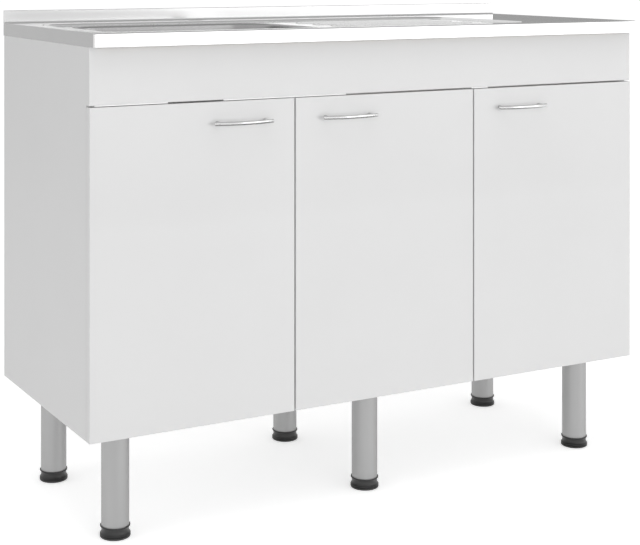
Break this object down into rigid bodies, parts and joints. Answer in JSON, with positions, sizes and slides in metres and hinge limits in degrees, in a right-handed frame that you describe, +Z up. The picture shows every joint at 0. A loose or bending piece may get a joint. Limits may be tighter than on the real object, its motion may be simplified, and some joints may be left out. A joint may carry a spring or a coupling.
{
  "type": "kitchen sink unit",
  "caption": "Free-standing kitchen sink cabinet on metal legs, with pressed steel top, bowl on the left, ribbed drainer, upstand, fascia and hinged doors with bow handles.",
  "frame": {"origin": "On the floor, under the middle of the whole object, handles included", "axes": "+X to the right seen from the front, +Y to the back, +Z up"},
  "size_m": [1.2, 0.5084, 0.925],
  "materials": {
    "white_board": "white melamine facing, satin",
    "raw_board": "raw particle board",
    "stainless_steel": "polished stainless sheet",
    "leg_metal": "satin metallic grey",
    "handle_metal": "satin chrome",
    "zinc_steel": "bright zinc",
    "black_plastic": "moulded black",
    "trap_plastic": "moulded white polypropylene",
    "seal_rubber": "soft rubber"
  },
  "bodies": {
    "cabinet": {"side_panel_left": "white_board", "side_panel_right": "white_board", "partition_panel": "white_board", "bottom_panel": "white_board", "fascia_panel": "white_board", "carcass_screws": "zinc_steel", "front_rail_left": "white_board", "rear_top_rail_left": "white_board", "rear_bottom_rail_left": "white_board", "front_rail_right": "white_board", "rear_top_rail_right": "white_board", "rear_bottom_rail_right": "white_board", "hinge_arms_left": "zinc_steel", "hinge_arms_middle": "zinc_steel", "hinge_arms_right": "zinc_steel", "hinge_arm_pins": "zinc_steel", "leg_front_left": "leg_metal", "leg_front_middle": "leg_metal", "leg_front_right": "leg_metal", "leg_rear_left": "leg_metal", "leg_rear_middle": "leg_metal", "leg_rear_right": "leg_metal", "leg_inserts": "black_plastic", "sink_deck": "stainless_steel", "carrier_board": "raw_board", "sink_bowl": "stainless_steel", "strainer_body": "stainless_steel", "strainer_gasket": "seal_rubber", "strainer_locknut": "trap_plastic", "trap_inlet_pipe": "trap_plastic", "trap_housing": "trap_plastic", "trap_cup": "trap_plastic", "outlet_pipe": "trap_plastic", "trap_nuts": "trap_plastic"},
    "left_door": {"door_left": "white_board", "handle_left": "handle_metal", "handle_screws_left": "zinc_steel", "hinge_cups_left": "zinc_steel", "cup_screws_left": "zinc_steel"},
    "left_hinge_links": {"hinge_links_left": "zinc_steel"},
    "middle_door": {"door_middle": "white_board", "handle_middle": "handle_metal", "handle_screws_middle": "zinc_steel", "hinge_cups_middle": "zinc_steel", "cup_screws_middle": "zinc_steel"},
    "middle_hinge_links": {"hinge_links_middle": "zinc_steel"},
    "right_door": {"door_right": "white_board", "handle_right": "handle_metal", "handle_screws_right": "zinc_steel", "hinge_cups_right": "zinc_steel", "cup_screws_right": "zinc_steel"},
    "right_hinge_links": {"hinge_links_right": "zinc_steel"},
    "front_left_foot": {"foot_front_left": "black_plastic"},
    "front_middle_foot": {"foot_front_middle": "black_plastic"},
    "front_right_foot": {"foot_front_right": "black_plastic"},
    "rear_left_foot": {"foot_rear_left": "black_plastic"},
    "rear_middle_foot": {"foot_rear_middle": "black_plastic"},
    "rear_right_foot": {"foot_rear_right": "black_plastic"},
    "basket": {"strainer_basket": "stainless_steel", "basket_stopper": "black_plastic"}
  },
  "joints": [
    {"name": "left_door_hinge", "type": "hinge", "parent": "cabinet", "child": "left_door", "pos_m": [-0.5955, -0.22325, 0.485], "axis": [0, 0, -1], "range_deg": [0, 95]},
    {"name": "middle_door_hinge", "type": "hinge", "parent": "cabinet", "child": "middle_door", "pos_m": [0.194, -0.22325, 0.485], "axis": [0, 0, 1], "range_deg": [0, 95]},
    {"name": "right_door_hinge", "type": "hinge", "parent": "cabinet", "child": "right_door", "pos_m": [0.5955, -0.22325, 0.485], "axis": [0, 0, 1], "range_deg": [0, 95]},
    {"name": "left_link_hinge", "type": "hinge", "parent": "cabinet", "child": "left_hinge_links", "pos_m": [-0.5718, -0.21865, 0.485], "axis": [0, 0, 1], "range_deg": [0, 49.5]},
    {"name": "middle_link_hinge", "type": "hinge", "parent": "cabinet", "child": "middle_hinge_links", "pos_m": [0.1703, -0.21865, 0.485], "axis": [0, 0, -1], "range_deg": [0, 49.5]},
    {"name": "right_link_hinge", "type": "hinge", "parent": "cabinet", "child": "right_hinge_links", "pos_m": [0.5718, -0.21865, 0.485], "axis": [0, 0, -1], "range_deg": [0, 49.5]},
    {"name": "front_left_foot_screw", "type": "slide", "parent": "cabinet", "child": "front_left_foot", "axis": [0, 0, -1], "range_m": [0, 0.015]},
    {"name": "front_middle_foot_screw", "type": "slide", "parent": "cabinet", "child": "front_middle_foot", "axis": [0, 0, -1], "range_m": [0, 0.015]},
    {"name": "front_right_foot_screw", "type": "slide", "parent": "cabinet", "child": "front_right_foot", "axis": [0, 0, -1], "range_m": [0, 0.015]},
    {"name": "rear_left_foot_screw", "type": "slide", "parent": "cabinet", "child": "rear_left_foot", "axis": [0, 0, -1], "range_m": [0, 0.015]},
    {"name": "rear_middle_foot_screw", "type": "slide", "parent": "cabinet", "child": "rear_middle_foot", "axis": [0, 0, -1], "range_m": [0, 0.015]},
    {"name": "rear_right_foot_screw", "type": "slide", "parent": "cabinet", "child": "rear_right_foot", "axis": [0, 0, -1], "range_m": [0, 0.015]},
    {"name": "basket_lift", "type": "slide", "parent": "cabinet", "child": "basket", "axis": [0, 0, 1], "range_m": [0, 0.012]}
  ],
  "couplings": [
    {"joint": "left_link_hinge", "follows": "left_door_hinge", "ratio": 0.51895},
    {"joint": "middle_link_hinge", "follows": "middle_door_hinge", "ratio": 0.51895},
    {"joint": "right_link_hinge", "follows": "right_door_hinge", "ratio": 0.51895}
  ]
}
